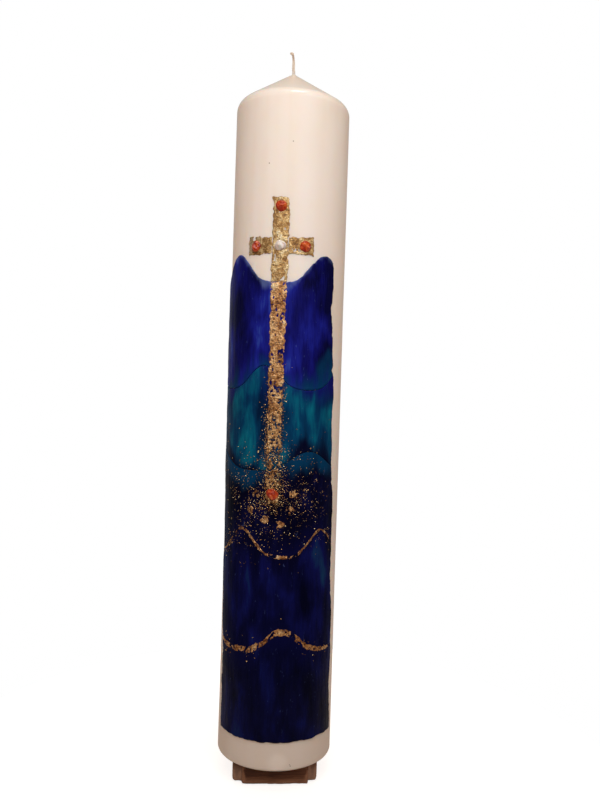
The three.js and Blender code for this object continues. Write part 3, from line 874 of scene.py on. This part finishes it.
deep_ultramarine = ("#02031c", "#060830", "#0a1048", "#0f3556")
navy_blue = ("#03041f", "#080a38", "#0d1252", "#143c62")
ultramarine = ("#07083a", "#10126a", "#1a2290", "#4063bc")
teal = ("#021e40", "#033c64", "#056480", "#17909e")
navy = ("#020216", "#060624", "#0a0d3a", "#103650")
band_paints = [deep_ultramarine, navy_blue, navy, teal, ultramarine]
band_slots = ["navy_wax", "ultramarine_wax", "navy_wax", "teal_wax", "ultramarine_wax"]
last_band = len(band_paints) - 1
near_edge = np.array(edge_offsets[:-1])
inset = edge_offsets[-1]
columns = np.linspace(inset, sheet_width - inset, round(sheet_width / sheet_fineness))
columns = np.concatenate([near_edge, columns, sheet_width - near_edge[::-1]])
shares = columns / sheet_width
for band, (paints, slot) in enumerate(zip(band_paints, band_slots)):
    cut = 0.35 * ripple(columns / 2.3, columns * 0, 90 + band)
    cut += 0.55 * ripple(columns / 7.5, columns * 0, 98 + band)
    low = seam_at(shares, band - 1) + seam_gap if band else sheet_foot + cut
    high = seam_at(shares, band) - seam_gap + (cut if band == last_band else 0)
    steps = round(float(np.mean(high - low)) / sheet_fineness)
    between = np.linspace(0, 1, steps)[:, None]
    middle = low + inset + between * (high - low - 2 * inset)
    up = np.concatenate([low + near_edge[:, None], middle, high - near_edge[::-1, None]])
    share = np.broadcast_to(shares, up.shape)
    across = across_sheet(share, up)
    from_side = np.minimum(share, 1 - share) * sheet_width
    from_edge = np.minimum(np.minimum(up - low, high - up), from_side)
    rounding = np.sqrt(1 - (1 - np.clip(from_edge / edge_rounding, 0, 1)) ** 2)
    squeezed = 0.14 * np.exp(-(from_edge - 1.3) ** 2) * (1 + ripple(across / 7, up / 7, 95))
    inner = np.full(up.shape, wax_radius - 0.15)
    relief = np.clip(from_edge, 0, 1) * brushed(across, up) + squeezed
    outer = inner + (sheet_radius - inner) * (0.3 + 0.7 * rounding) + relief
    below = band_paints[max(band - 1, 0)][1]
    above = band_paints[min(band + 1, last_band)][1]
    finish = brushed_finish(f"brushed_wax_{band + 1}", paints, below, above)
    sheet, source = pressed(f"sheet_{band + 1}_brushed", across, up, inner, outer, finish)
    to_low, to_high = (up - low).ravel(), (high - up).ravel()
    last = band == last_band
    to_below = to_low + far_away * (band == 0)
    to_above = to_high + far_away * last
    to_top = to_high + far_away * (not last)
    set_attribute(sheet, "seams", np.stack([to_below, to_above, to_top], 1)[source] * mm)
    hand_over(sheet, "candle", slot, f"sheet_band_{band + 1}")


# The gilding: leaf metal on a thin wax film, rubbed down with a fingertip, so that it lies in fine creases,
# tears at its edges and breaks into grains. Two lines cover seams, four strips make a cross, six are scraps.
leaf_cell = 0.37
leaf_film = 0.12
cross_width = 14
cross_flare = 2.4
arm_reach = 29
foot_rise = 44
foot_taper = 3
line_taper = 0.45
line_inset = 3
line_widths = (6, 3.5)
scrap_count = 6
scrap_size = 7
scrap_reach = 19
scrap_spread = 115
scrap_field = 5.5
creases = ((4.6, 0.25, 0.25), (2.6, 0.3, 1.1), (1.5, 0.25, 2.3), (0.9, 0.2, 0.7))
crumple_rise = 0.62
leaf_stray = (0.5, 33)
leaf_lost = 0.05
scrap_lost = 0.46
cross_field = (-9, 9)


def gilded_finish(name, paints, gap_paint):
    """Crumpled leaf in four paints from dull to bright, whose ground shows in its worn creases."""
    finish, tree, shader = new_finish(name, Specular_IOR_Level=0.5)
    lay = add_node(tree, "ShaderNodeAttribute", attribute_name="lay").outputs["Vector"]
    crease = add_node(tree, "ShaderNodeAttribute", attribute_name="crease").outputs["Fac"]
    cloud = noise(tree, lay, (1, 0.6, 1), 130, 4.0, 0.6)
    grains = noise(tree, lay, (1, 1, 1), 700, 3.0, 0.6)
    tone = math_node(tree, "MULTIPLY_ADD", cloud, 0.9, math_node(tree, "MULTIPLY", grains, 0.5))
    tone = math_node(tree, "MULTIPLY_ADD", crease, 0.3, math_node(tree, "SUBTRACT", tone, 0.3))
    colour = palette(tree, tone, *zip((0.32, 0.46, 0.6, 0.78), paints))
    worn = math_node(tree, "SUBTRACT", grains, math_node(tree, "MULTIPLY", crease, 0.36))
    worn = ramp_between(tree, worn, 0.4, 0.52, 0.0, 0.85)
    colour = blend_of(tree, worn, colour, tint(gap_paint))
    tree.links.new(colour, shader.inputs["Base Color"])
    tree.links.new(math_node(tree, "MULTIPLY_ADD", worn, -0.6, 0.8), shader.inputs["Metallic"])
    tree.links.new(ramp_between(tree, grains, 0.3, 0.7, 0.26, 0.44), shader.inputs["Roughness"])
    fine_grains = noise(tree, lay, (1, 1, 1), 1500, 2.0)
    bump(tree, shader, fine_grains, 0.3, bump(tree, shader, grains, 0.5))
    return finish


bright_gold = ("#8a6033", "#c2955a", "#e6c78f", "#fff0cf")
copper_gold = ("#6e3d1a", "#bc7f48", "#f0bb7e", "#ffe6b8")
gold_on_wax = gilded_finish("gold_leaf_on_wax", bright_gold, "#76512e")
gold_on_sheet = gilded_finish("gold_leaf_on_sheet", copper_gold, "#171233")


def crumpled(across, up):
    """The relief of leaf that was rubbed down, from 0 to 1: creases that cross one another."""
    relief = 0
    for crease, (size, share, turn) in enumerate(creases):
        x = (across * math.cos(turn) - up * math.sin(turn)) / size
        y = (across * math.sin(turn) + up * math.cos(turn)) / size
        relief = relief + share * (1 - np.abs(ripple(x, y, 105 + crease))) ** 3
    return relief


def torn_leaf(node, span, rise, inside, ground, finish, broken=0.0, base=None):
    """A strip of leaf within a span across and a rise above its base line. inside says how far a place
    lies from its edge, broken what share is lost to cracks, and ground the radius that it lies on."""
    across, along = np.meshgrid(np.arange(*span, leaf_cell), np.arange(*rise, leaf_cell))
    x, y = ((grid[:-1, :-1] + grid[1:, 1:]) / 2 for grid in (across, along))
    torn = 0.5 * ripple(x / 1.3, y / 1.3, 101) + 0.7 * ripple(x / 3.7, y / 3.1, 102)
    cracks = 0.6 * ripple(x / 1.3, y / 1.6, 103) + 0.4 * ripple(x / 4, y / 5, 104)
    lost = broken(x, y) if callable(broken) else broken
    kept = (inside(x, y) > 0.3 + 1.1 * torn) & (cracks < 0.6 - lost)
    for _ in range(8):
        a, b, c, d = kept[:-1, :-1], kept[:-1, 1:], kept[1:, 1:], kept[1:, :-1]
        pinched = (a & c & ~b & ~d) | (b & d & ~a & ~c)
        for quarter in (a, b, c, d):
            quarter |= pinched
    framed = np.pad(kept, 1)
    level = framed[1:, 1:-1] ^ framed[:-1, 1:-1]
    upright = framed[1:-1, 1:] ^ framed[1:-1, :-1]
    corner = np.arange(across.size).reshape(across.shape)
    rim = [np.stack([corner[:, :-1][level], corner[:, 1:][level]], 1)]
    rim += [np.stack([corner[:-1][upright], corner[1:][upright]], 1)]
    rim = np.concatenate(rim)
    spots = np.stack([across.ravel(), along.ravel()], 1)
    for _ in range(3):
        spots = 0.45 * spots + 0.55 * neighbours_mean(spots, rim)
    across, along = (column.reshape(across.shape) for column in spots.T)
    up = along + (base(across) if base else 0)
    crumple = crumpled(across, up)
    on_rim = np.zeros(across.size, bool)
    on_rim[rim] = True
    crumple = np.where(on_rim.reshape(across.shape), 0.4 * crumple, crumple)
    bottom = ground(across, up)
    crumple = np.clip(crumple, 0, 1)
    top = bottom + leaf_film + crumple_rise * crumple
    leaf, source = pressed(f"{node}_leaf", across, up, bottom - 0.1, top, finish, kept, 60)
    set_attribute(leaf, "crease", crumple.ravel()[source])
    hand_over(leaf, "candle", "gold_leaf", node)


def on_sheet(across, up):
    """The radius that leaf lies on where it covers the brushed sheet."""
    return sheet_radius + brushed(across, up)


def on_wax(across, up):
    """The radius that leaf lies on where it covers bare wax."""
    return np.full(np.shape(across), wax_radius + 0.05)


line_reach = sheet_width / 2 - line_inset


def lay_line(seam, place, width):
    """A gold line over a seam, which narrows and breaks up towards its ends."""
    line_middle = sheet_middle(swells[seam][0])

    def line_edge(across, along):
        half = width / 2 * (1 - line_taper * ((across - line_middle) / line_reach) ** 2)
        sag = stray(across, *leaf_stray, seam)
        return np.minimum(half - np.abs(along - sag), line_reach - np.abs(across - line_middle))

    def line_broken(across, along):
        return 0.42 + 0.2 * ripple(across / 8, along * 0, 116 + seam)

    def line_base(across):
        return seam_height(across, seam)

    span = (line_middle - line_reach - 1, line_middle + line_reach + 1)
    rise = (-width / 2 - 1, width / 2 + 1)
    torn_leaf(f"gold_line_{place}", span, rise, line_edge, on_sheet, gold_on_sheet, line_broken, line_base)


lay_line(0, "lower", line_widths[0])
lay_line(1, "upper", line_widths[1])

cross_foot = float(seam_height(0, 1)) + foot_rise
half_cross = cross_width / 2


def stem_edge(across, up):
    """How far inside the cross's stem a place lies. The stem narrows a little towards its foot."""
    half = half_cross - foot_taper / 2 * np.clip((arm_level - up) / (arm_level - cross_foot), 0, 1)
    ends = np.minimum(up - cross_foot, seam_height(across, 4) - 0.2 - up)
    return np.minimum(half + stray(up, *leaf_stray, 1) - np.abs(across), ends)


def stem_broken(across, up):
    """What share of the stem is lost to cracks, more of it towards its foot."""
    grainy = np.clip((cross_foot + 110 - up) / 90, 0, 1)
    return 0.12 + 0.6 * grainy + 0.16 * ripple(across / 9, up / 14, 108)


def head_edge(across, up):
    """How far inside the cross's head a place lies."""
    ends = np.minimum(up - seam_height(across, 4) - 0.1, cross_top - up)
    return np.minimum(half_cross + stray(up, *leaf_stray, 3) - np.abs(across), ends)


stem_rise = (cross_foot - 1, sheet_top + 1)
head_rise = (sheet_top - 30, cross_top + 1)
torn_leaf("cross_stem", cross_field, stem_rise, stem_edge, on_sheet, gold_on_sheet, stem_broken)
torn_leaf("cross_head", cross_field, head_rise, head_edge, on_wax, gold_on_wax, leaf_lost)
arm_root = half_cross + 0.8


def lay_arm(side, place):
    """One arm of the cross, which widens a little towards its end."""
    def arm_edge(across, up):
        out = side * across
        half = half_cross + cross_flare / 2 * np.clip((out - arm_root) / (arm_reach - arm_root), 0, 1)
        ends = np.minimum(out - arm_root + 1.2, arm_reach - out)
        return np.minimum(half + stray(out, *leaf_stray, side) - np.abs(up - arm_level), ends)

    span = sorted((side * (arm_root - 1), side * (arm_reach + 1)))
    rise = (arm_level - 10, arm_level + 10)
    torn_leaf(f"cross_arm_{place}", span, rise, arm_edge, on_wax, gold_on_wax, leaf_lost)


def lay_scrap(scrap):
    """One scrap of leaf, a crooked lozenge. The scraps lie in an arc round the cross's foot."""
    turn = math.radians(-scrap_spread + 2 * scrap_spread * scrap / (scrap_count - 1))
    reach = scrap_reach - (0 if scrap % 2 else scrap_size / 2)
    middle_across, middle_up = reach * math.sin(turn), cross_foot - reach * math.cos(turn)
    tilt = 0.3 * math.sin(4 * scrap + 1)
    ends = [0.45 + 0.3 * math.sin(3 * scrap - 1.4), 1, 0.45 + 0.3 * math.sin(3 * scrap + 1.4)]

    def scrap_edge(across, up):
        right = across - middle_across
        share = np.interp(right / (scrap_size / 2), [-1, 0, 1], ends)
        tall = share * scrap_size / 2 - np.abs(up - middle_up - tilt * right)
        return np.minimum(tall, scrap_size / 2 - np.abs(right)) + 0.2

    span = (middle_across - scrap_field, middle_across + scrap_field)
    rise = (middle_up - scrap_field, middle_up + scrap_field)
    torn_leaf(f"leaf_scrap_{scrap + 1}", span, rise, scrap_edge, on_sheet, gold_on_sheet, scrap_lost)


lay_arm(-1, "left")
lay_arm(1, "right")
for scrap in range(scrap_count):
    lay_scrap(scrap)


# Loose flakes of leaf, which the brush left when the leaf was rubbed down. They lie thickest round the foot
# of the cross and beside the two lines, pressed into the sheet while it was warm.
flake_kinds = 5
flake_corners = 7
flake_width = 1.0
flake_sizes = (0.4, 1.5)
flake_tilt = 0.75
flakes_at_foot = 30
flakes_by_line = 7
flake_density = 1300000
grains_above_foot = 120
strewing_step = 2

flake_box = bpy.data.collections.new("flakes")
flake_random = np.random.default_rng(7)
corners = np.arange(flake_corners)
corner_turn = 2 * math.pi / flake_corners
following = [*range(1, flake_corners), 0]
for kind in range(flake_kinds):
    turn = flake_random.uniform(0, corner_turn, flake_corners) + corners * corner_turn
    reach = flake_width / 2 * flake_random.uniform(0.55, 1.15, flake_corners)
    sunk = flake_random.uniform(-0.12, 0.02, flake_corners)
    low = np.stack([reach * np.cos(turn), reach * np.sin(turn), sunk], 1)
    high = low * (0.82, 0.82, 1) + (0, 0, 0.1)
    high += flake_random.uniform(0, 0.12, (flake_corners, 1)) * (0, 0, 1)
    places = np.concatenate([low, high, [[0, 0, 0.22]]])
    rim = [(i, j, flake_corners + j, flake_corners + i) for i, j in enumerate(following)]
    cap = [(flake_corners + i, flake_corners + j, 2 * flake_corners) for i, j in enumerate(following)]
    under = tuple(range(flake_corners))[::-1]
    flake = add_mesh(f"flake_{kind}", places, [*rim, *cap, under], None, 10)
    bpy.context.scene.collection.objects.unlink(flake)
    flake_box.objects.link(flake)

scatter = bpy.data.node_groups.new("scattered_flakes", "GeometryNodeTree")
add_socket(scatter, "Ground", "Geometry")
scatter_values = {"Density": flake_density, "Tilt": flake_tilt}
scatter_values.update({"Smallest": flake_sizes[0], "Largest": flake_sizes[1]})
scatter_inputs = {name: add_socket(scatter, name, "Float", value) for name, value in scatter_values.items()}
scatter_inputs["Flakes"] = add_socket(scatter, "Flakes", "Collection")
scatter_inputs["Finish"] = add_socket(scatter, "Finish", "Material")
add_socket(scatter, "Scattered", "Geometry", out=True)
given = add_node(scatter, "NodeGroupInput").outputs
chance = add_node(scatter, "GeometryNodeInputNamedAttribute", {"Name": "chance"}, data_type="FLOAT")
density = math_node(scatter, "MULTIPLY", chance.outputs[0], given["Density"])
sockets = {"Mesh": given["Ground"], "Density": density, "Seed": 5}
points = add_node(scatter, "GeometryNodeDistributePointsOnFaces", sockets, distribute_method="RANDOM")
sockets = {"Collection": given["Flakes"], "Separate Children": True, "Reset Children": True}
kinds = add_node(scatter, "GeometryNodeCollectionInfo", sockets)
low_turn = add_node(scatter, "ShaderNodeCombineXYZ", {2: -math.pi})
high_turn = add_node(scatter, "ShaderNodeCombineXYZ", {2: math.pi})
for axis in (0, 1):
    scatter.links.new(math_node(scatter, "MULTIPLY", given["Tilt"], -1.0), low_turn.inputs[axis])
    scatter.links.new(given["Tilt"], high_turn.inputs[axis])
sockets = {0: low_turn.outputs[0], 1: high_turn.outputs[0], "Seed": 6}
spin = add_node(scatter, "FunctionNodeRandomValue", sockets, data_type="FLOAT_VECTOR").outputs[0]
sockets = {0: points.outputs["Rotation"], 1: spin}
lying = add_node(scatter, "FunctionNodeRotateRotation", sockets, rotation_space="LOCAL").outputs[0]
sockets = {2: given["Smallest"], 3: given["Largest"], "Seed": 8}
size = add_node(scatter, "FunctionNodeRandomValue", sockets, data_type="FLOAT").outputs[1]
sockets = {"Points": points.outputs["Points"], "Instance": kinds.outputs[0], "Pick Instance": True}
sockets.update({"Rotation": lying, "Scale": size})
strewn = add_node(scatter, "GeometryNodeInstanceOnPoints", sockets).outputs[0]
plain = add_node(scatter, "GeometryNodeRealizeInstances", {"Geometry": strewn}).outputs[0]
gilt = add_node(scatter, "GeometryNodeSetMaterial", {"Geometry": plain, "Material": given["Finish"]})
add_node(scatter, "NodeGroupOutput", {0: gilt.outputs[0]})

flake_gold, tree, shader = new_finish("gold_flakes", Metallic=1.0, Roughness=0.26)
place = object_place(tree)
spot = noise(tree, place, (1, 1, 1), 420, 3.0)
colour = palette(tree, spot, (0.36, "#8f5d34"), (0.5, "#c9985f"), (0.64, "#f3d59c"))
tree.links.new(colour, shader.inputs["Base Color"])
bump(tree, shader, noise(tree, place, (1, 1, 1), 3000, 2.0), 0.05)

half_sheet = sheet_width / 2
across, up = np.meshgrid(np.arange(-half_sheet, half_sheet + 0.1, strewing_step),
                         np.arange(sheet_foot + 4, sheet_top - 34, strewing_step))
halo = np.hypot(across * 0.9, up - cross_foot - 4)
chance = 0.6 * np.exp(-((halo / flakes_at_foot) ** 2)) * (0.5 + 0.5 * ripple(across / 9, up / 11, 111))
fading = np.clip((cross_foot + grains_above_foot - up) / grains_above_foot, 0, 1) * (up > cross_foot - 2)
chance += 0.4 * np.exp(-(np.abs(across) - half_cross) ** 2 / 14) * fading
on_stem = (np.abs(across) < half_cross) * np.minimum(1, 2 * fading)
chance += on_stem * (0.75 + 0.5 * ripple(across / 4, up / 6, 114))
for seam in (0, 1):
    apart = np.abs(up - seam_height(across, seam))
    patchy = np.clip(ripple(across / 8, up * 0, 112 + seam), 0, 1)
    chance += 0.24 * np.exp(-((apart / flakes_by_line) ** 2)) * patchy
from_side = np.minimum(across - sheet_side(-1, up), sheet_side(1, up) - across)
chance *= np.clip((from_side - 2) / 3, 0, 1)
ground_places = on_pillar(across, up, on_sheet(across, up) + 0.02 + 0.22 * on_stem).reshape(-1, 3)
corner = np.arange(across.size).reshape(across.shape)
quads = np.stack([corner[:-1, :-1], corner[:-1, 1:], corner[1:, 1:], corner[1:, :-1]], 2).reshape(-1, 4)
strewing = add_mesh("strewing_ground", ground_places, quads.tolist())
set_attribute(strewing, "chance", np.clip(chance, 0, 1).ravel())
scatter_values.update({"Flakes": flake_box, "Finish": flake_gold})
flake_mesh = grown(strewing, "gold_flakes", scatter, scatter_inputs, scatter_values)
for flake in list(flake_box.objects):
    bpy.data.objects.remove(flake)
bpy.data.collections.remove(flake_box)
flakes = new_object("gold_flakes", flake_mesh)
hand_over(flakes, "candle", "gold_leaf")


# The drops: five pinches of soft wax, pressed on with a fingertip at the ends of the cross and where its arms
# meet. The middle one is pearl white, the others are orange-red with a lighter swirl, and all are glossy.
drop_diameter = 10
drop_height = 4
drop_inset = 7.5
drop_seat = 0.3
drop_slump = 0.5
pinch_slant = 0.7
pinch_width = 1.9
drop_rings = 22
drop_sides = 72


def drop_finish(name, paints, depth):
    """Poured wax in three swirled paints, which light enters a little way."""
    finish, tree, shader = new_finish(name, Specular_IOR_Level=0.5, Subsurface_Weight=0.3, Coat_Weight=0.35)
    shader.inputs["Subsurface Radius"].default_value = (1.0, 0.45, 0.3)
    shader.inputs["Subsurface Scale"].default_value = depth * mm
    shader.inputs["Coat Roughness"].default_value = 0.12
    place = object_place(tree)
    swirl = noise(tree, place, (1, 1, 0.7), 170, 3.0, 0.5, 1.6)
    grease = noise(tree, place, (1, 1, 1), 700, 3.0)
    colour = palette(tree, swirl, *zip((0.36, 0.5, 0.64), paints))
    tree.links.new(colour, shader.inputs["Base Color"])
    tree.links.new(ramp_between(tree, grease, 0.3, 0.7, 0.16, 0.36), shader.inputs["Roughness"])
    bump(tree, shader, grease, 0.06)
    return finish


red_wax = drop_finish("orange_red_wax", ("#8a1a0a", "#b8380f", "#d96a28"), 1.5)
pearl_wax = drop_finish("pearl_white_wax", ("#b9a9a2", "#e2d8d2", "#f6f1ee"), 2.0)


def add_drop(node, across, up, ground, finish, slot, seed):
    """A lump that was pinched to a crooked ridge and has slumped a little, on a radius of the pillar."""
    rings = np.arange(1, drop_rings + 1) / drop_rings
    ring, side = np.meshgrid(rings, np.arange(drop_sides), indexing="ij")
    turn = side * 2 * math.pi / drop_sides
    lobes = 0.94 + 0.14 * ripple(side * 5 / drop_sides, ring * 0, seed, 5) * ring
    lobes += 0.05 * ripple(side / 6, ring * 0, seed + 1, 12) * ring
    reach = drop_diameter / 2 * ring * lobes
    right = reach * np.cos(turn)
    above = reach * np.sin(turn) - drop_slump * (1 - ring ** 2)
    slant = pinch_slant + 0.9 * seed
    over = right * math.cos(slant) + above * math.sin(slant)
    beside = above * math.cos(slant) - right * math.sin(slant) - 0.8 * np.sin(over / 1.6 + seed)
    ridge = np.exp(-((beside / pinch_width) ** 2)) * (0.86 + 0.14 * np.cos(over * 1.3 + seed))
    rise = (drop_height - 0.3) * (1 - ring ** 2.6) ** 0.55 * (0.5 + 0.5 * ridge)
    rise += 0.3 * ripple(right / 1.5 + 9, above / 1.5 + 9, seed + 2) * (1 - ring ** 4)
    rise = np.maximum(rise * np.clip((1 - ring) * 12, 0, 1), -0.02)
    flat_right = np.concatenate([[0], right.ravel(), right[-1] * 0.98, [0]])
    flat_above = np.concatenate([[-drop_slump], above.ravel(), above[-1] * 0.98, [0]])
    lift = np.concatenate([[rise[0].mean()], rise.ravel(), np.full(drop_sides, -0.35), [-0.35]])
    places = on_pillar(across + flat_right, up + flat_above, ground + lift)
    following = [*range(1, drop_sides), 0]
    faces = [(0, 1 + i, 1 + j) for i, j in enumerate(following)]
    for level in range(drop_rings):
        start = 1 + level * drop_sides
        after = start + drop_sides
        faces += [(start + i, after + i, after + j, start + j) for i, j in enumerate(following)]
    last = 1 + drop_rings * drop_sides
    faces += [(len(places) - 1, last + j, last + i) for i, j in enumerate(following)]
    drop = add_mesh(f"{node}_wax", places, faces, finish, 60)
    hand_over(drop, "candle", slot, node)


side_drop = arm_reach - drop_inset
leaf_on_wax = wax_radius + drop_seat
leaf_on_sheet = sheet_radius + drop_seat
drops = [("centre", 0, arm_level, leaf_on_wax), ("head", 0, cross_top - drop_inset, leaf_on_wax)]
drops += [("left", -side_drop, arm_level, leaf_on_wax), ("right", side_drop, arm_level, leaf_on_wax)]
drops += [("foot", 0, cross_foot + drop_inset, leaf_on_sheet)]
for number, (place, across, up, ground) in enumerate(drops):
    finish, slot = (pearl_wax, "pearl_wax") if place == "centre" else (red_wax, "orange_red_wax")
    add_drop(f"drop_{place}", across, up, ground, finish, slot, 120 + 5 * number)
